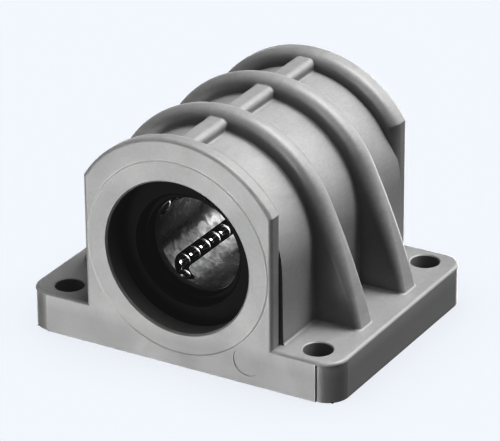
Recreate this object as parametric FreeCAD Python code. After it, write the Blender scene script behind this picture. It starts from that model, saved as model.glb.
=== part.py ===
import FreeCAD, Part
import math
import os
from FreeCAD import Vector as V

# Linear ball bushing in a moulded resin pillow block, for a 16 mm shaft.
# All lengths in millimetres, angles in degrees.
# Frame: X across the width, +Y along the bore from the front face to the rear
# face, +Z up. Origin at the centre of the base's underside.
# Angles about the bore axis are measured from +X towards +Z.

# ---------------------------------------------------------------- dimensions
# base
LENGTH = 48.0            # front face to rear face, along the bore
WIDTH = 62.0
BASE_T = 7.6             # base thickness
AXIS_H = 20.5            # bore axis above the base's underside
BASE_CORNER_R = 4.0      # rounded corners, seen from above
BASE_EDGE_R = 0.6        # softened upper edge
CORNER_STEP = 0.25       # below that edge the corners stand back from the end faces
HOLE_X = 50.0            # fixing hole spacing across
HOLE_Y = 39.0            # fixing hole spacing along
HOLE_R = 2.6             # clearance for M5
HOLE_CHAMFER = 0.2
EJECTOR_X = 13.7         # shallow round ejector mark low on the front face
EJECTOR_Z = 4.3
EJECTOR_R = 2.7
EJECTOR_DEPTH = 0.08

# end plates
PLATE_T = 4.0
PLATE_HALF = 18.6        # half width
PLATE_R = 21.9           # arch radius about the bore axis
PLATE_FOOT_Z = 2.0       # underside, buried in the base
PLATE_FACE_R = 0.65      # rounding of the rim on the face side
PLATE_BACK_R = 2.1       # rounding of the rim towards the barrel
FACE_RING_R = 17.7       # shallow raised ring round the bore on both end faces
FACE_RING_H = 0.12
FACE_RING_SLOPE = 0.3    # the ring's outer edge runs out over this width

# barrel and the ridge along its top
BARREL_FROM = 2.8        # the barrel starts this far in from each face
BODY_R = 19.05           # barrel radius about the bore axis
WALL_DRAFT_DEG = 0.7     # the side walls lean out towards the base
BARREL_FOOT_Z = 3.0      # underside, buried in the base
KEEL_HALF = 2.1          # half width of the ridge
KEEL_R = 1.2             # rounding of its top corners
KEEL_FROM = 2.0          # the ridge starts this far in from each face
KEEL_TOP = 21.0          # its height above the bore axis
KEEL_SUNK = 2.0          # its underside lies this far inside the barrel's crown

# middle ribs
RIB_T = 4.8
RIB_R = 22.4             # crest radius about the bore axis
RIB_ROUND = 2.3          # rounding of the crest
RIB_FOOT_ROUND = 0.8     # the rounding has tightened to this at the gusset's foot
RIB_IN = 5.4             # how far a rib reaches into the barrel from its crest
RIB_FROM_FRONT = (LENGTH / 3.0, 2.0 * LENGTH / 3.0)
RIB_LEAVE_DEG = 25.0     # where the rib leaves its arch to become a gusset
RIB_FLANK_R = 120.0      # slight bow of the gusset's outer edge
RIB_FOOT_Z = 4.0         # gusset's underside, buried in the base
RIB_FOOT_W = 12.0        # width of that underside

# housing bore and retaining ring grooves
BORE_R = 14.0
BORE_CHAMFER = 0.35
GROOVE_R = 14.8
GROOVE_FROM = 3.7        # groove starts this far from each end face
GROOVE_W = 1.8

# fillets at the inside corners of the moulding
KEEL_FILLET = 0.4        # where the top ridge meets the barrel
RIB_FILLET = 0.3         # where the ribs meet the barrel
FOOT_FILLET = 0.4        # where ribs and barrel walls meet the base

# retaining rings
SNAP_PLAY = 0.1          # play in the groove, radially and in total along Y
SNAP_T = GROOVE_W - SNAP_PLAY
SNAP_OUT_R = GROOVE_R - SNAP_PLAY
SNAP_IN_R = 10.1
SNAP_CHAMFER = 0.4
SNAP_GAP = 3.2           # opening between the ring's two ends
SNAP_GAP_DEG = 52.0      # where the opening sits
SNAP_CUT_FROM = 8.5      # the cutter for the opening starts at this radius
SNAP_CUT_L = 8.0         # and is this long
SNAP_EYE_R = 0.9         # holes for the fitting pliers
SNAP_EYE_INSET = 0.6     # eyes sit this far inside the middle of the ring's band
SNAP_EYE_FROM_GAP = 1.9  # from the edge of the opening to an eye, along the band

# ball bushing: fills the bore between the two grooves
BUSH_L = LENGTH - 2.0 * (GROOVE_FROM + GROOVE_W)
BUSH_R = BORE_R - 0.01
BUSH_CHAMFER = 0.5
SHAFT_R = 8.0            # the balls' inscribed radius
BALL_R = 1.5875
RACE_R = SHAFT_R + 2.0 * BALL_R + 0.01   # raceway in the outer sleeve, just clear of the balls
SEAT_R = 12.65           # counterbore for the end rings
SEAT_DEPTH = 1.9
END_RING_PLAY = 0.05     # at the end ring's rim and at both its faces
END_RING_OUT_R = SEAT_R - END_RING_PLAY
END_RING_IN_R = 9.0
END_RING_T = SEAT_DEPTH - 2.0 * END_RING_PLAY
END_RING_CHAMFER = 0.3
CAGE_OUT_R = 11.1
CAGE_IN_R = 8.8
CAGE_L = BUSH_L - 2.0 * SEAT_DEPTH

# ball circuits
PITCH = 3.43             # ball to ball along a straight row
ROW_N = 7                # balls in each straight row
CIRCUITS = 4
FIRST_DEG = -131.5       # loaded row of the first circuit
RETURN_DEG = 28.0        # return row sits this far round from the loaded row
LOADED_R = SHAFT_R + BALL_R   # centre line of a loaded row
RETURN_R = 11.0          # centre line of a return row
CHANNEL_R = 1.69         # ball channel
TURN_DEG = (82.8, 172.8)      # the two balls in each half turn, from its start

HALF_L = LENGTH / 2.0
HALF_BUSH = BUSH_L / 2.0
HALF_ROW = ROW_N * PITCH / 2.0
ORIGIN = V(0, 0, 0)
X, Y, Z = V(1, 0, 0), V(0, 1, 0), V(0, 0, 1)
FRONT, REAR = -1, 1      # sign of Y at each end
ENDS = (FRONT, REAR)
OVER = 1.0               # cutting tools run this far past the material
TINY = 1e-6              # tolerance when selecting edges


# ------------------------------------------------------------------- helpers
def axis_pt(x, y, z):
    """A point given relative to the bore axis."""
    return V(x, y, AXIS_H + z)


def slab_start(end, inset, thickness, half=HALF_L):
    """Lowest Y of a slab set in from the front or rear end at -half or +half."""
    return half - inset - thickness if end == REAR else inset - half


def disc(radius, y0, y1):
    return Part.makeCylinder(radius, y1 - y0, axis_pt(0, y0, 0), Y)


def tube(r_in, r_out, y0, y1):
    return disc(r_out, y0, y1).cut(disc(r_in, y0 - OVER, y1 + OVER))


def prism(edges, y0, y1):
    """Extrude a closed XZ profile drawn at y = 0 between y0 and y1."""
    face = Part.Face(Part.Wire(edges))
    face.translate(V(0, y0, 0))
    return face.extrude(V(0, y1 - y0, 0))


def line(start, end):
    return Part.makeLine(V(start[0], 0, start[1]), V(end[0], 0, end[1]))


def arc(start, middle, end):
    return Part.Arc(*[V(x, 0, z) for x, z in (start, middle, end)]).toShape()


def crown(x, z, radius):
    """Arc from (x, z) over the bore axis to (-x, z)."""
    return arc((x, z), (0.0, AXIS_H + radius), (-x, z))


def on_circle(radius, deg, centre=(0.0, AXIS_H)):
    angle = math.radians(deg)
    return (centre[0] + radius * math.cos(angle), centre[1] + radius * math.sin(angle))


def is_circle(edge):
    return edge.Curve.TypeId == "Part::GeomCircle"


def is_line(edge):
    return edge.Curve.TypeId == "Part::GeomLine"


def circles(shape, radius, tol=TINY):
    return [e for e in shape.Edges if is_circle(e) and abs(e.Curve.Radius - radius) < tol]


# ---------------------------------------------------------------------- base
def rounded_base():
    base = Part.makeBox(WIDTH, LENGTH, BASE_T, V(-WIDTH / 2.0, -HALF_L, 0))
    upright = [e for e in base.Edges if e.BoundBox.ZLength > BASE_T - 0.1]
    base = base.makeFillet(BASE_CORNER_R, upright)
    top = [
        e for e in base.Edges
        if e.BoundBox.ZLength < TINY and abs(e.BoundBox.ZMin - BASE_T) < TINY
    ]
    base = base.makeFillet(BASE_EDGE_R, top)
    for side in (-1, 1):
        for end in ENDS:
            base = base.cut(corner_step(side, end))
    return base


def corner_step(side, end):
    """The sliver between a corner's full outline and its set-back outline."""
    r = BASE_CORNER_R
    height = BASE_T - BASE_EDGE_R
    x, y = WIDTH / 2.0 - r, HALF_L - r
    back_y = y - CORNER_STEP
    block = Part.makeBox(r + OVER, r + OVER, height + OVER, V(x, y, -OVER))
    # the kept outline overruns the block both below and above
    z0, keep_h = -2 * OVER, height + 3 * OVER
    keep = Part.makeCylinder(r, keep_h, V(x, back_y, z0))
    keep = keep.fuse(Part.makeBox(r, CORNER_STEP + OVER, keep_h, V(x, back_y - OVER, z0)))
    sliver = block.cut(keep)
    if side < 0:
        sliver = sliver.mirror(ORIGIN, X)
    if end == FRONT:
        sliver = sliver.mirror(ORIGIN, Y)
    return sliver


# ---------------------------------------------------------- housing's body
def barrel():
    """Round-topped barrel whose side walls spread slightly towards the base."""
    x, z = on_circle(BODY_R, WALL_DRAFT_DEG)
    foot = x + (z - BARREL_FOOT_Z) * math.tan(math.radians(WALL_DRAFT_DEG))
    right, left = (foot, BARREL_FOOT_Z), (-foot, BARREL_FOOT_Z)
    profile = [
        line(left, right),
        line(right, (x, z)),
        crown(x, z, BODY_R),
        line((-x, z), left),
    ]
    return prism(profile, -HALF_L + BARREL_FROM, HALF_L - BARREL_FROM)


def keel():
    """Round-cornered ridge along the crown, its ends sunk in the end plates."""
    foot = BODY_R - KEEL_SUNK
    ridge = Part.makeBox(
        2 * KEEL_HALF, LENGTH - 2 * KEEL_FROM, KEEL_TOP - foot,
        axis_pt(-KEEL_HALF, -HALF_L + KEEL_FROM, foot)
    )
    top = AXIS_H + KEEL_TOP
    long_top = [
        e for e in ridge.Edges
        if e.BoundBox.YLength > 20.0 and abs(e.BoundBox.ZMin - top) < 1e-4
    ]
    return ridge.makeFillet(KEEL_R, long_top)


def plate_rim(plate, y):
    """The arch and the two upright edges of an end plate's rim at y."""
    return [
        e for e in plate.Edges
        if abs(e.BoundBox.YMin - y) < 1e-4 and abs(e.BoundBox.YMax - y) < 1e-4
        and (is_circle(e) or (is_line(e) and e.BoundBox.ZLength > 20.0))
    ]


def end_plate(end):
    """Arched plate; its rim is rounded lightly on the face and fully towards the barrel."""
    y0 = slab_start(end, 0.0, PLATE_T)
    x, z = PLATE_HALF, AXIS_H + math.sqrt(PLATE_R ** 2 - PLATE_HALF ** 2)
    profile = [
        line((-x, PLATE_FOOT_Z), (x, PLATE_FOOT_Z)),
        line((x, PLATE_FOOT_Z), (x, z)),
        crown(x, z, PLATE_R),
        line((-x, z), (-x, PLATE_FOOT_Z)),
    ]
    plate = prism(profile, y0, y0 + PLATE_T)
    plate = plate.makeFillet(PLATE_BACK_R, plate_rim(plate, end * (HALF_L - PLATE_T)))
    return plate.makeFillet(PLATE_FACE_R, plate_rim(plate, end * HALF_L))


def rib_arch(y0, y1):
    """The rib's arch over the barrel, with a nearly round crest."""
    out_x, out_z = on_circle(RIB_R, RIB_LEAVE_DEG)
    in_x, in_z = on_circle(RIB_R - RIB_IN, RIB_LEAVE_DEG)
    profile = [
        line((in_x, in_z), (out_x, out_z)),
        crown(out_x, out_z, RIB_R),
        line((-out_x, out_z), (-in_x, in_z)),
        crown(-in_x, in_z, RIB_R - RIB_IN),
    ]
    arch = prism(profile, y0, y1)
    rim = [e for e in circles(arch, RIB_R) if e.BoundBox.YLength < TINY]
    return arch.makeFillet(RIB_ROUND, rim)


def rib_gusset(y0, y1):
    """The rib's +X end, running out to the edge of the base; its rounding
    tightens towards the foot."""
    outer = on_circle(RIB_R, RIB_LEAVE_DEG)
    inner = on_circle(RIB_R - RIB_IN, RIB_LEAVE_DEG)
    # the bowed flank leaves the arch tangentially
    centre = on_circle(RIB_R - RIB_FLANK_R, RIB_LEAVE_DEG)
    foot_deg = math.degrees(math.asin((RIB_FOOT_Z - centre[1]) / RIB_FLANK_R))
    foot = on_circle(RIB_FLANK_R, foot_deg, centre)
    middle = on_circle(RIB_FLANK_R, (RIB_LEAVE_DEG + foot_deg) / 2.0, centre)
    heel = (foot[0] - RIB_FOOT_W, RIB_FOOT_Z)
    profile = [
        line(heel, foot),
        arc(foot, middle, outer),
        line(outer, inner),
        line(inner, heel),
    ]
    gusset = prism(profile, y0, y1)
    for y in (y0, y1):
        flank = [
            e for e in circles(gusset, RIB_FLANK_R)
            if e.BoundBox.YLength < TINY and abs(e.BoundBox.YMin - y) < TINY
        ]
        radii = (RIB_FOOT_ROUND, RIB_ROUND)
        # the first radius applies at the edge's first vertex
        if flank[0].Vertexes[0].Z > flank[0].Vertexes[-1].Z:
            radii = (RIB_ROUND, RIB_FOOT_ROUND)
        gusset = gusset.makeFillet(radii[0], radii[1], flank)
    return gusset


def rib(y_mid):
    """Arched rib with a gusset at each side."""
    y0, y1 = y_mid - RIB_T / 2.0, y_mid + RIB_T / 2.0
    arch = rib_arch(y0, y1)
    gusset = rib_gusset(y0, y1)
    return arch.fuse([gusset, gusset.mirror(ORIGIN, X)]).removeSplitter()


def face_ring(end):
    return Part.makeCone(
        FACE_RING_R + FACE_RING_SLOPE, FACE_RING_R, FACE_RING_H,
        axis_pt(0, end * HALF_L, 0), V(0, end, 0)
    )


# -------------------------------------------------------------- housing's cuts
def groove(end):
    y0 = slab_start(end, GROOVE_FROM, GROOVE_W)
    return disc(GROOVE_R, y0, y0 + GROOVE_W)


def bore_mouth(end):
    return Part.makeCone(
        BORE_R + BORE_CHAMFER, BORE_R, BORE_CHAMFER,
        axis_pt(0, end * (HALF_L + FACE_RING_H), 0), V(0, -end, 0)
    )


def fixing_hole(x, y):
    """A through hole and the cone that chamfers its upper edge."""
    return [
        Part.makeCylinder(HOLE_R, BASE_T + 2 * OVER, V(x, y, -OVER), Z),
        Part.makeCone(
            HOLE_R, HOLE_R + 2 * HOLE_CHAMFER, 2 * HOLE_CHAMFER,
            V(x, y, BASE_T - HOLE_CHAMFER), Z
        ),
    ]


def ejector_mark():
    return Part.makeCylinder(
        EJECTOR_R, OVER, V(EJECTOR_X, -HALF_L + EJECTOR_DEPTH, EJECTOR_Z), V(0, -1, 0)
    )


def housing_cuts():
    cuts = [disc(BORE_R, -HALF_L - 2 * OVER, HALF_L + 2 * OVER)]
    for sign in (-1, 1):
        cuts += [groove(sign), bore_mouth(sign)]
        for end in ENDS:
            cuts += fixing_hole(sign * HOLE_X / 2.0, end * HOLE_Y / 2.0)
    cuts.append(ejector_mark())
    return cuts


# ----------------------------------------------------------- housing's fillets
RIB_REACH = HALF_L / 2.0 + 1.0   # |Y| that takes in both ribs, not the end plates
GUSSET_ROOT_X = (19.0, 29.0)     # range of |X| for the gussets' edges on the base
WALL_ROOT_X = 20.0               # the barrel walls' edges on the base lie within this
WALL_ROOT_MIN_L = 5.0            # and are longer than this


def is_keel_root(edge):
    """Along either side of the top ridge, on the barrel."""
    box = edge.BoundBox
    return (
        is_line(edge)
        and box.XLength < 1e-5
        and box.ZLength < 1e-5
        and abs(abs(box.XMin) - KEEL_HALF) < 1e-3
        and AXIS_H + BODY_R - 1.0 < box.ZMin < AXIS_H + BODY_R + 0.2
    )


def is_rib_root(edge):
    """Where a rib rises from the barrel; takes edges of the barrel's radius."""
    box = edge.BoundBox
    return box.YLength < 1e-4 and box.ZMin > BASE_T and abs(box.YMin) < RIB_REACH


def is_foot(edge):
    """Where a gusset or a barrel wall stands on the base."""
    box = edge.BoundBox
    if abs(box.ZMin - BASE_T) > 1e-4 or abs(box.ZMax - BASE_T) > 1e-4:
        return False
    far_x = max(abs(box.XMin), abs(box.XMax))
    far_y = max(abs(box.YMin), abs(box.YMax))
    gusset = GUSSET_ROOT_X[0] < far_x < GUSSET_ROOT_X[1] and far_y < RIB_REACH
    wall = far_x < WALL_ROOT_X and box.YLength > WALL_ROOT_MIN_L
    return gusset or wall


def blend_roots(solid):
    """Round the inside corners of the moulding, one family of edges at a time."""
    solid = solid.makeFillet(KEEL_FILLET, [e for e in solid.Edges if is_keel_root(e)])
    rib_roots = [e for e in circles(solid, BODY_R, 1e-3) if is_rib_root(e)]
    solid = solid.makeFillet(RIB_FILLET, rib_roots)
    return solid.makeFillet(FOOT_FILLET, [e for e in solid.Edges if is_foot(e)])


def housing():
    solid = rounded_base().fuse([barrel(), keel(), end_plate(FRONT), end_plate(REAR)])
    for from_front in RIB_FROM_FRONT:
        solid = solid.fuse(rib(-HALF_L + from_front))
    for end in ENDS:
        solid = solid.fuse(face_ring(end))
    solid = solid.removeSplitter()
    for cut in housing_cuts():
        solid = solid.cut(cut)
    return blend_roots(solid.removeSplitter())


# ------------------------------------------------------------ retaining ring
def snap_ring(end):
    """Open ring centred in its groove, with an eye at each side of the opening."""
    y0 = slab_start(end, GROOVE_FROM + (GROOVE_W - SNAP_T) / 2.0, SNAP_T)
    ring = tube(SNAP_IN_R, SNAP_OUT_R, y0, y0 + SNAP_T)
    ring = ring.makeChamfer(SNAP_CHAMFER, circles(ring, SNAP_IN_R))

    depth = SNAP_T + 2 * OVER
    gap = Part.makeBox(
        SNAP_CUT_L, depth, SNAP_GAP, V(SNAP_CUT_FROM, y0 - OVER, -SNAP_GAP / 2.0)
    )
    gap.rotate(ORIGIN, V(0, -1, 0), SNAP_GAP_DEG)
    gap.translate(V(0, 0, AXIS_H))
    ring = ring.cut(gap)

    eye_at = (SNAP_IN_R + SNAP_OUT_R) / 2.0 - SNAP_EYE_INSET
    offset = math.degrees((SNAP_GAP / 2.0 + SNAP_EYE_FROM_GAP) / eye_at)
    for deg in (SNAP_GAP_DEG - offset, SNAP_GAP_DEG + offset):
        x, z = on_circle(eye_at, deg)
        ring = ring.cut(Part.makeCylinder(SNAP_EYE_R, depth, V(x, y0 - OVER, z), Y))
    return ring


# -------------------------------------------------------------- ball circuit
def balls(points):
    return Part.makeCompound([Part.makeSphere(BALL_R, p) for p in points])


class Circuit:
    """One closed loop of balls: a loaded row on the raceway, a return row
    further out, and a half turn at each end, all in one plane."""

    def __init__(self, index):
        deg = FIRST_DEG + 360.0 / CIRCUITS * index
        self.loaded = on_circle(LOADED_R, deg)
        self.back = on_circle(RETURN_R, deg + RETURN_DEG)
        loaded, back = self.at(self.loaded, 0), self.at(self.back, 0)
        self.centre = (loaded + back) * 0.5
        across = back - loaded
        self.turn_r = across.Length / 2.0
        self.across = across * (1.0 / across.Length)

    def at(self, place, y):
        """Point at y on the line along Y through place, an (x, z) pair."""
        return V(place[0], y, place[1])

    def loaded_row(self):
        return balls([self.at(self.loaded, -HALF_ROW + k * PITCH) for k in range(ROW_N)])

    def return_row(self):
        return balls([self.at(self.back, HALF_ROW - k * PITCH) for k in range(ROW_N)])

    def turn_balls(self, end):
        """The front turn starts at the loaded row, the rear one at the return row."""
        points = []
        for deg in TURN_DEG:
            angle = math.radians(deg)
            sideways = self.across * (end * self.turn_r * math.cos(angle))
            along = Y * (end * (HALF_ROW + self.turn_r * math.sin(angle)))
            points.append(self.centre + sideways + along)
        return balls(points)

    def straight(self, place):
        return Part.makeCylinder(CHANNEL_R, 2 * HALF_ROW, self.at(place, -HALF_ROW), Y)

    def turn(self, end):
        y = end * HALF_ROW
        start = self.loaded if end == FRONT else self.back
        section = Part.Face(Part.Wire(Part.makeCircle(CHANNEL_R, self.at(start, y), Y)))
        return section.revolve(self.centre + Y * y, self.across.cross(Y), 180)

    def turns(self):
        return [self.turn(FRONT), self.turn(REAR)]


# -------------------------------------------------------------- ball bushing
def outer_sleeve(circuits):
    h = HALF_BUSH
    sleeve = disc(BUSH_R, -h, h)
    sleeve = sleeve.makeChamfer(BUSH_CHAMFER, [e for e in sleeve.Edges if is_circle(e)])
    sleeve = sleeve.cut(disc(RACE_R, -h - OVER, h + OVER))
    sleeve = sleeve.cut(disc(SEAT_R, -h - OVER, -h + SEAT_DEPTH))
    sleeve = sleeve.cut(disc(SEAT_R, h - SEAT_DEPTH, h + OVER))
    for c in circuits:
        sleeve = sleeve.cut(c.straight(c.back).fuse(c.turns()))
    return sleeve


def ball_retainer(circuits):
    cage = tube(CAGE_IN_R, CAGE_OUT_R, -CAGE_L / 2.0, CAGE_L / 2.0)
    for c in circuits:
        cage = cage.cut(c.straight(c.loaded).fuse([c.straight(c.back)] + c.turns()))
    return cage


def end_ring(end):
    y0 = slab_start(end, END_RING_PLAY, END_RING_T, HALF_BUSH)
    ring = tube(END_RING_IN_R, END_RING_OUT_R, y0, y0 + END_RING_T)
    return ring.makeChamfer(END_RING_CHAMFER, circles(ring, END_RING_IN_R))


# -------------------------------------------------------------------- output
def build():
    circuits = [Circuit(i) for i in range(CIRCUITS)]
    parts = {
        "housing": housing(),
        "outer_sleeve": outer_sleeve(circuits),
        "ball_retainer": ball_retainer(circuits),
    }
    for name, end in (("front", FRONT), ("rear", REAR)):
        parts[name + "_end_ring"] = end_ring(end)
        parts[name + "_retaining_ring"] = snap_ring(end)
    for i, c in enumerate(circuits, 1):
        parts["circuit_%d_loaded_row" % i] = c.loaded_row()
        parts["circuit_%d_front_turn" % i] = c.turn_balls(FRONT)
        parts["circuit_%d_return_row" % i] = c.return_row()
        parts["circuit_%d_rear_turn" % i] = c.turn_balls(REAR)
    return parts


os.makedirs("parts", exist_ok=True)
for name, shape in build().items():
    shape.exportStep("parts/%s.step" % name)
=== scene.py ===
# A linear ball bearing in a light grey resin housing with a bolt-down base.
# The bore runs along Y, the base is underneath (lowest Z), and the camera
# looks from the front right and above: from -Y, +X, +Z. Lengths are metres.
import math

import bpy
from mathutils import Matrix, Vector

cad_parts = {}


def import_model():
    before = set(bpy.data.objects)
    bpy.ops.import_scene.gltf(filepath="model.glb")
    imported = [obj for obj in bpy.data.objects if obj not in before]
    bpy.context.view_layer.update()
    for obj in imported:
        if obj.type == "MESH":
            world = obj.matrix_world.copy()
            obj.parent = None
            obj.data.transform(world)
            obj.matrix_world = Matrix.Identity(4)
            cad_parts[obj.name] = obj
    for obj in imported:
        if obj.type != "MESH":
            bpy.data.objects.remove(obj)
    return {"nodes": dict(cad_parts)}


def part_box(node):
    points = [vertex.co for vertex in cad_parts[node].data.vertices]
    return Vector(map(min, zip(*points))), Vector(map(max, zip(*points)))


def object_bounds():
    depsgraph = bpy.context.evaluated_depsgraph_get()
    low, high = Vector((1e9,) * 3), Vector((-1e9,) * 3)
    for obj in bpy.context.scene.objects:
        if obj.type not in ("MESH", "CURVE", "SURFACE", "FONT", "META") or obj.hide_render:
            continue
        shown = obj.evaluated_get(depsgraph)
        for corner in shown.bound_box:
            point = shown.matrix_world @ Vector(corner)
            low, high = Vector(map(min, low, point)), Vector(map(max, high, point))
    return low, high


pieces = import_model()["nodes"]
cad_lo, cad_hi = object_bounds()
sleeve_lo, sleeve_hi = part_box("outer_sleeve")
retainer_lo, retainer_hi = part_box("ball_retainer")

AXIS = (Vector(sleeve_lo) + Vector(sleeve_hi)) / 2.0    # middle of the bore
SLEEVE_RADIUS = (sleeve_hi[0] - sleeve_lo[0]) / 2.0
RETAINER_HALF_LENGTH = (retainer_hi[1] - retainer_lo[1]) / 2.0
RING_RADIUS = 0.01785       # sloping edge of the raised ring on the housing's end faces
FACE_REACH = 0.024          # along Y, from the middle of the bore to those faces
FLANGE_SHADE_FULL_Z = 0.0045      # painted shade on the flange sides is strongest below this height
FLANGE_SHADE_END_Z = 0.0074     # and gone above this one
FIRST_ROW = math.radians(-131.5)    # angle of one loaded row, from +X towards +Z
ROWS = 4.0


# ------------------------------------------------------------ node helpers
class Tree:
    """Short spelling for building the shader tree of a material or a world."""

    def __init__(self, owner):
        owner.use_nodes = True
        self.owner = owner
        self.nodes = owner.node_tree.nodes
        self.links = owner.node_tree.links
        self.nodes.clear()

    def node(self, kind, **settings):
        made = self.nodes.new(kind)
        for name, value in settings.items():
            setattr(made, name, value)
        return made

    def feed(self, socket, value):
        """Link a socket, or set a plain value."""
        if isinstance(value, bpy.types.NodeSocket):
            self.links.new(value, socket)
        else:
            socket.default_value = value

    def feed_all(self, node, values):
        """Feed inputs given by name or by number."""
        for key, value in values.items():
            self.feed(node.inputs[key], value)

    def math(self, operation, first, second=0.0, clamp=False):
        node = self.node("ShaderNodeMath", operation=operation, use_clamp=clamp)
        self.feed_all(node, {0: first, 1: second})
        return node.outputs[0]

    def add(self, first, second, clamp=False):
        return self.math("ADD", first, second, clamp)

    def subtract(self, first, second):
        return self.math("SUBTRACT", first, second)

    def multiply(self, first, second, clamp=False):
        return self.math("MULTIPLY", first, second, clamp)

    def gap(self, value, target):
        """Distance of a value from a target, never negative."""
        return self.math("ABSOLUTE", self.subtract(value, target))

    def vector(self, operation, *values):
        node = self.node("ShaderNodeVectorMath", operation=operation)
        self.feed_all(node, dict(enumerate(values)))
        return node.outputs

    def place(self):
        return self.node("ShaderNodeTexCoord").outputs["Object"]

    def split(self, vector):
        node = self.node("ShaderNodeSeparateXYZ")
        self.feed(node.inputs[0], vector)
        return node.outputs

    def stretched(self, vector, scale):
        return self.vector("MULTIPLY", vector, scale)[0]

    def noise(self, vector, scale, detail, rough, distortion=0.0):
        node = self.node("ShaderNodeTexNoise")
        self.feed_all(node, {"Vector": vector, "Scale": scale, "Detail": detail,
                             "Roughness": rough, "Distortion": distortion})
        return node.outputs["Fac"]

    def remap(self, value, span, to=(0.0, 1.0), smooth=False):
        """Carry the span of a value over to another range, clamped."""
        node = self.node("ShaderNodeMapRange", clamp=True)
        if smooth:
            node.interpolation_type = "SMOOTHSTEP"
        self.feed_all(node, {"Value": value, "From Min": span[0], "From Max": span[1],
                             "To Min": to[0], "To Max": to[1]})
        return node.outputs["Result"]

    def mix(self, factor, colour, other, amount=None):
        """Blend towards the other colour; amount scales the factor."""
        if amount is not None:
            factor = self.multiply(factor, amount)
        node = self.node("ShaderNodeMix", data_type="RGBA")
        self.feed_all(node, {0: factor, 6: colour, 7: other})
        return node.outputs[2]

    def bump(self, height, distance, strength, under=None):
        node = self.node("ShaderNodeBump")
        self.feed_all(node, {"Strength": strength, "Distance": distance, "Height": height})
        if under is not None:
            self.feed(node.inputs["Normal"], under)
        return node.outputs["Normal"]

    def occlusion(self, distance, samples):
        node = self.node("ShaderNodeAmbientOcclusion", samples=samples)
        node.inputs["Distance"].default_value = distance
        return node.outputs["AO"]

    def edge(self, radius, start, full):
        """1 along convex and concave edges, 0 on open surface."""
        bevel = self.node("ShaderNodeBevel", samples=6)
        bevel.inputs["Radius"].default_value = radius
        geometry = self.node("ShaderNodeNewGeometry")
        dot = self.vector("DOT_PRODUCT", bevel.outputs[0], geometry.outputs["Normal"])["Value"]
        return self.remap(self.subtract(1.0, dot), span=(start * start, full * full))

    def from_axis(self, vector):
        """Distance from the bore's axis."""
        flat = self.vector("MULTIPLY_ADD", vector, (1.0, 0.0, 1.0), (-AXIS.x, 0.0, -AXIS.z))[0]
        return self.vector("LENGTH", flat)["Value"]

    def surface(self, **inputs):
        shader = self.node("ShaderNodeBsdfPrincipled")
        self.feed_all(shader, {name.replace("_", " "): value for name, value in inputs.items()})
        self.finish("ShaderNodeOutputMaterial", shader)

    def finish(self, kind, shader):
        self.feed(self.node(kind).inputs[0], shader.outputs[0])


def material_tree(name):
    return Tree(bpy.data.materials.new(name))


def grey(tone, warm=0.0):
    return (tone * (1 + warm), tone, tone * (1 - warm), 1.0)


# --------------------------------------------------------------- materials
def housing_resin():
    """Light grey glass-filled resin straight from the mould."""
    tree = material_tree("housing_resin")
    place = tree.place()
    cloud = tree.noise(place, scale=90.0, detail=3.0, rough=0.55, distortion=0.4)
    flow = tree.noise(tree.stretched(place, (1.0, 0.35, 1.0)),
                      scale=420.0, detail=4.0, rough=0.6, distortion=1.2)
    fleck = tree.noise(tree.stretched(place, (1.0, 0.5, 1.0)),
                       scale=2600.0, detail=2.0, rough=0.6)

    # the three noises shift the tone about the middle of two greys
    middle, contrast = 0.5, 9.0
    tone = tree.add(tree.remap(cloud, span=(0.3, 0.7), to=(-0.018, 0.018)),
                    tree.remap(flow, span=(0.35, 0.65), to=(-0.014, 0.014)))
    tone = tree.add(tone, tree.remap(fleck, span=(0.3, 0.7), to=(-0.016, 0.016)))
    tone = tree.add(middle, tree.multiply(tone, contrast), clamp=True)
    base = tree.mix(tone, grey(0.305), grey(0.375))

    # edges rubbed lighter, painted shade in the corners, the bore wall round the sleeve blended
    # to an even grey
    rub = tree.edge(radius=0.00035, start=0.10, full=0.6)
    base = tree.mix(rub, base, grey(0.50), amount=0.35)
    painted_corner_shade = tree.remap(tree.occlusion(distance=0.0025, samples=6),
                      span=(0.30, 0.85), to=(0.45, 0.0))
    base = tree.mix(painted_corner_shade, base, grey(0.14, warm=0.01))
    radius = tree.from_axis(place)
    bore_wall_blend = tree.remap(radius, span=(SLEEVE_RADIUS - 0.00005, SLEEVE_RADIUS + 0.00025),
                         to=(1.0, 0.0))
    base = tree.mix(bore_wall_blend, base, grey(0.36, warm=0.005), amount=0.7)

    # painted light: the sloping edge of the raised ring is lightened to hide the dark line its
    # shading makes
    painted_slope_light = tree.remap(tree.gap(radius, RING_RADIUS), span=(0.0001, 0.0003), to=(1.0, 0.0))
    along = tree.split(place)
    at_face = tree.remap(tree.gap(along["Y"], AXIS.y),
                         span=(FACE_REACH - 0.0003, FACE_REACH - 0.0001))
    base = tree.mix(tree.multiply(painted_slope_light, at_face), base, grey(0.54), amount=0.85)

    # painted shade: the flange sides are darker towards the bottom
    painted_flange_shade = tree.remap(along["Z"], span=(FLANGE_SHADE_FULL_Z, FLANGE_SHADE_END_Z), to=(0.60, 0.0))
    base = tree.mix(painted_flange_shade, base, grey(0.24))

    rub_polish = 0.08
    rough = tree.add(tree.remap(cloud, span=(0.3, 0.7), to=(0.38, 0.46)),
                     tree.remap(flow, span=(0.35, 0.65), to=(-0.03, 0.03)))
    rough = tree.subtract(rough, tree.multiply(rub, rub_polish))
    grain = tree.noise(place, scale=3400.0, detail=3.0, rough=0.55)
    peel = tree.noise(place, scale=620.0, detail=2.0, rough=0.5)
    relief = tree.bump(peel, distance=0.000010, strength=0.55)
    relief = tree.bump(grain, distance=0.000006, strength=0.6, under=relief)
    tree.surface(Base_Color=base, Roughness=rough, Specular_IOR_Level=0.5, IOR=1.50,
                 Normal=relief)
    return tree.owner


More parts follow.
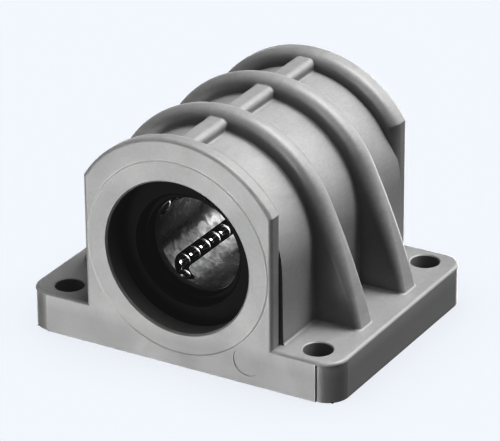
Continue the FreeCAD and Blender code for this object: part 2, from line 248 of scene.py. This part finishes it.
def painted_row_light(tree, place, blotch):
    """Painted light mask: 1 beside each of the loaded rows, 0 between them, with a blotchy
    border.
    """
    along = tree.split(place)
    angle = tree.math("ARCTAN2", tree.subtract(along["Z"], AXIS.z),
                      tree.subtract(along["X"], AXIS.x))
    band = tree.math("COSINE", tree.multiply(tree.subtract(angle, FIRST_ROW), ROWS))
    ragged = tree.remap(blotch, span=(0.3, 0.7), to=(-0.35, 0.35))
    return tree.remap(tree.add(band, ragged), span=(-0.55, 0.15), smooth=True)


def ground_steel(name, tone, smoothest, roughest, patchy, rows=False, half_length=None):
    """Ground or rolled steel: fine lines run round the bore.

    rows paints shade between the loaded rows, leaving bright bands beside them; half_length
    adds rougher ends with painted shade.
    """
    tree = material_tree(name)
    place = tree.place()
    lines = tree.noise(tree.stretched(place, (30.0, 9000.0, 30.0)),
                       scale=1.0, detail=2.0, rough=0.6)
    scuff = tree.noise(tree.stretched(place, (700.0, 160.0, 700.0)),
                       scale=1.0, detail=3.0, rough=0.6, distortion=0.6)
    blotch = tree.noise(place, scale=520.0, detail=4.0, rough=0.6, distortion=0.8)
    base = tree.mix(tree.remap(blotch, span=(0.35, 0.65)),
                    grey(tone * (1 - patchy), warm=0.004), grey(tone, warm=-0.004))
    rough = tree.add(tree.remap(blotch, span=(0.3, 0.7), to=(roughest, smoothest)),
                     tree.remap(lines, span=(0.3, 0.7), to=(-0.04, 0.04)))
    rough = tree.add(rough, tree.remap(scuff, span=(0.4, 0.7), to=(0.0, 0.05)))
    if rows:
        # painted shade between the loaded rows, so only the bands beside them show the bright
        # reflection; those bands are also rougher
        between_rows_shade_tone, row_band_rough = 0.34, 0.17
        row_lit = painted_row_light(tree, place, blotch)
        base = tree.mix(row_lit, grey(tone * between_rows_shade_tone), base)
        rough = tree.add(rough, tree.multiply(row_lit, row_band_rough))
    if half_length:
        # painted shade: the ends are darker, and rougher, so the lamp glints little on their
        # edges
        end_shade_tone, end_rough = 0.35, 0.22
        reach = tree.gap(tree.split(place)["Y"], AXIS.y)
        painted_end_shade = tree.remap(reach, span=(half_length - 0.0012, half_length - 0.0009))
        base = tree.mix(painted_end_shade, base, grey(tone * end_shade_tone))
        rough = tree.add(rough, tree.multiply(painted_end_shade, end_rough))
    relief = tree.bump(lines, distance=0.0000012, strength=0.5)
    relief = tree.bump(scuff, distance=0.000004, strength=0.5, under=relief)
    tree.surface(Base_Color=base, Metallic=1.0, Roughness=rough, Normal=relief)
    return tree.owner


def ball_steel():
    """Polished bearing balls with a trace of oil."""
    tree = material_tree("ball_steel")
    haze = tree.noise(tree.place(), scale=1500.0, detail=3.0, rough=0.6)
    base = tree.mix(tree.remap(haze, span=(0.3, 0.7)),
                    grey(0.60, warm=0.003), grey(0.70, warm=-0.003))
    rough = tree.remap(haze, span=(0.3, 0.75), to=(0.035, 0.10))
    tree.surface(Base_Color=base, Metallic=1.0, Roughness=rough, Coat_Weight=0.25,
                 Coat_Roughness=0.05)
    return tree.owner


def black_ring():
    """Blackened spring steel, rubbed bright on its edges."""
    tree = material_tree("black_ring")
    place = tree.place()
    cloud = tree.noise(place, scale=700.0, detail=3.0, rough=0.6, distortion=0.5)
    fine = tree.noise(tree.stretched(place, (1.0, 1.0, 1.0)),
                      scale=5200.0, detail=2.0, rough=0.5)
    base = tree.mix(tree.remap(cloud, span=(0.35, 0.7)),
                    grey(0.018, warm=0.01), grey(0.034, warm=0.01))
    rub = tree.edge(radius=0.00018, start=0.16, full=0.75)
    rub = tree.multiply(rub, tree.remap(cloud, span=(0.35, 0.6), to=(0.25, 1.0)), clamp=True)
    base = tree.mix(rub, base, grey(0.42, warm=0.005), amount=0.85)
    rough = tree.add(tree.remap(cloud, span=(0.3, 0.7), to=(0.42, 0.55)),
                     tree.remap(fine, span=(0.3, 0.7), to=(-0.03, 0.03)))
    bare_metal = 0.8
    relief = tree.bump(fine, distance=0.000004, strength=0.5)
    tree.surface(Base_Color=base, Metallic=tree.multiply(rub, bare_metal), Roughness=rough,
                 Specular_IOR_Level=0.10, Normal=relief)
    return tree.owner


def dress_pieces():
    """One material per piece: ball circuits by prefix, unlisted pieces are black rings."""
    by_name = {
        "housing": housing_resin(),
        "outer_sleeve": ground_steel("bearing_steel", tone=0.40, smoothest=0.24,
                                     roughest=0.34, patchy=0.14),
        "ball_retainer": ground_steel("retainer_steel", tone=0.74, smoothest=0.18,
                                      roughest=0.34, patchy=0.40, rows=True,
                                      half_length=RETAINER_HALF_LENGTH),
    }
    balls = ball_steel()
    rings = black_ring()
    for name, piece in pieces.items():
        other = balls if name.startswith("circuit_") else rings
        piece.data.materials.clear()
        piece.data.materials.append(by_name.get(name, other))


dress_pieces()

# ------------------------------------------------------------------- stage
FILM_CONTRAST = 2.0     # scene light is raised to this power
FILM_BLACK = 0.0055     # lightness of the deepest black
# scene colour that the film turns into the backdrop wanted
BACKDROP = tuple(round(c ** (1.0 / FILM_CONTRAST), 4) for c in (0.894, 0.925, 0.991)) + (1.0,)

FLOOR_HALF_SIZE = 30.0
FLOOR_DROP = 0.00005    # floor and shade lie just under the base
SHADE_DROP = 0.00003
SHADE_INSET = 0.0012    # keeps the shade inside the product's outline


def flat_sheet(name, x_range, y_range, z):
    """A level rectangle, linked to the scene."""
    (x0, x1), (y0, y1) = x_range, y_range
    mesh = bpy.data.meshes.new(name)
    mesh.from_pydata([(x0, y0, z), (x1, y0, z), (x1, y1, z), (x0, y1, z)],
                     [], [(0, 1, 2, 3)])
    sheet = bpy.data.objects.new(name, mesh)
    bpy.context.scene.collection.objects.link(sheet)
    return sheet


def studio_floor():
    """Glowing backdrop floor with a painted contact shadow: slightly darker close to the
    product.
    """
    reach = (-FLOOR_HALF_SIZE, FLOOR_HALF_SIZE)
    floor = flat_sheet("studio_floor", reach, reach, cad_lo.z - FLOOR_DROP)
    tree = material_tree("studio_floor")
    shade = tree.remap(tree.occlusion(distance=0.016, samples=12),
                       span=(0.0, 1.0), to=(0.91, 1.0))
    glow = tree.node("ShaderNodeEmission")
    tree.feed(glow.inputs["Color"], tree.mix(shade, grey(0.0), BACKDROP))
    tree.finish("ShaderNodeOutputMaterial", glow)
    floor.data.materials.append(tree.owner)
    floor.visible_diffuse = False
    floor.visible_glossy = False
    floor.visible_transmission = False
    floor.visible_shadow = False


def under_shade():
    """Dark sheet just under the base, so the bolt holes look down into shadow."""
    shade = flat_sheet("under_shade",
                       (cad_lo.x + SHADE_INSET, cad_hi.x - SHADE_INSET),
                       (cad_lo.y + SHADE_INSET, cad_hi.y - SHADE_INSET),
                       cad_lo.z - SHADE_DROP)
    tree = material_tree("under_shade")
    tree.surface(Base_Color=grey(0.01), Roughness=1.0, Specular_IOR_Level=0.0)
    shade.data.materials.append(tree.owner)


studio_floor()
under_shade()

# ------------------------------------------------------------------- light
# Soft lobes of light: x, y, z towards the light, sharpness, strength.
LOBES = [
    (0.23, 0.30, 0.93, 24.0, 12.2),
    (0.62, 0.22, 0.75, 22.0, 13.6),
    (0.14, 0.00, 0.99, 20.0, 3.6),
    (0.66, 0.72, 0.22, 20.0, 0.5),
    (-0.42, -0.83, -0.42, 38.0, 27.0),
    (-0.53, -0.84, 0.10, 24.0, 0.8),
    (0.12, -0.50, 0.86, 24.0, 1.1),
    (-0.30, -0.50, -0.80, 20.0, 1.4),
    (0.46, -0.78, 0.43, 30.0, 0.3),
    (-0.10, 0.95, -0.28, 20.0, 5.0),
    (-0.74, -0.25, 0.62, 14.0, 1.7),
]
# reflections only: mainly the pale room behind the bore, and a small lamp in front
MIRRORED = [
    (0.45, 0.80, 0.40, 10.0, 4.0),
    (-0.43, 0.78, -0.46, 10.0, 4.2),
    (0.10, 0.30, 0.95, 8.0, 0.5),
    (-0.45, -0.80, -0.20, 8.0, 0.25),
    (0.20, -0.88, 0.42, 60.0, 30.0),
]
# what the open bore shows after light has bounced twice along its own wall
DEEP = [(0.42, 0.78, -0.48, 10.0, 9.0)]
DEEP_BOUNCES = 1.5      # glossy depth above which DEEP counts


def lobe_sum(tree, direction, lobes, ambient):
    total = ambient
    for x, y, z, sharpness, strength in lobes:
        dot = tree.vector("DOT_PRODUCT", direction, Vector((x, y, z)).normalized())["Value"]
        fall = tree.math("EXPONENT", tree.multiply(tree.subtract(dot, 1.0), sharpness))
        total = tree.add(total, tree.multiply(fall, strength))
    return total


def studio_world():
    """Lobes light the product; the camera itself sees the plain backdrop."""
    world = bpy.data.worlds.new("studio")
    bpy.context.scene.world = world
    tree = Tree(world)
    direction = tree.node("ShaderNodeTexCoord").outputs["Generated"]
    path = tree.node("ShaderNodeLightPath").outputs
    lit = lobe_sum(tree, direction, LOBES, ambient=0.015)
    mirrored = lobe_sum(tree, direction, MIRRORED, ambient=0.02)
    lit = tree.add(lit, tree.multiply(mirrored, path["Is Glossy Ray"]))
    deep = tree.multiply(lobe_sum(tree, direction, DEEP, ambient=0.0),
                         tree.math("GREATER_THAN", path["Glossy Depth"], DEEP_BOUNCES))
    light = tree.node("ShaderNodeBackground")
    tree.feed(light.inputs["Strength"], tree.add(lit, deep))
    seen = tree.node("ShaderNodeBackground")
    seen.inputs["Color"].default_value = BACKDROP
    pick = tree.node("ShaderNodeMixShader")
    tree.feed_all(pick, {0: path["Is Camera Ray"], 1: light.outputs[0], 2: seen.outputs[0]})
    tree.finish("ShaderNodeOutputWorld", pick)
    world.cycles.sampling_method = "MANUAL"
    world.cycles.sample_map_resolution = 512


studio_world()


# --------------------------------------------------------- camera and film
def add_camera():
    lens = bpy.data.cameras.new("camera")
    camera = bpy.data.objects.new("camera", lens)
    bpy.context.scene.collection.objects.link(camera)
    position = (0.2813038, -0.4793353, 0.2804084)
    right = (0.86526930, 0.50126792, -0.00628539)
    up = (-0.20925224, 0.37253982, 0.90411702)
    back = (0.45554642, -0.78098947, 0.42723871)
    turn = Matrix((right, up, back)).transposed().to_4x4()
    camera.matrix_world = Matrix.Translation(position) @ turn
    lens.sensor_width = 36.0
    lens.lens = 251.916
    lens.shift_x = -0.012609
    lens.shift_y = 0.000467
    lens.clip_start = 0.05
    lens.clip_end = 60.0
    bpy.context.scene.camera = camera


def set_film():
    """A print film's response: scene light to the power of the contrast."""
    view = bpy.context.scene.view_settings
    view.view_transform = "Standard"
    view.look = "None"
    view.use_curve_mapping = True
    curve = view.curve_mapping.curves[3]    # the combined curve
    curve.points[0].location = (0.0, FILM_BLACK)
    curve.points[1].location = (1.0, 1.0)
    for x in (0.04, 0.09, 0.16, 0.25, 0.36, 0.50, 0.65, 0.80, 0.90):
        curve.points.new(x, FILM_BLACK + (1.0 - FILM_BLACK) * x ** FILM_CONTRAST)
    view.curve_mapping.update()


add_camera()
set_film()
cycles = bpy.context.scene.cycles
cycles.max_bounces = 12
cycles.sample_clamp_indirect = 6.0
cycles.use_denoising = True
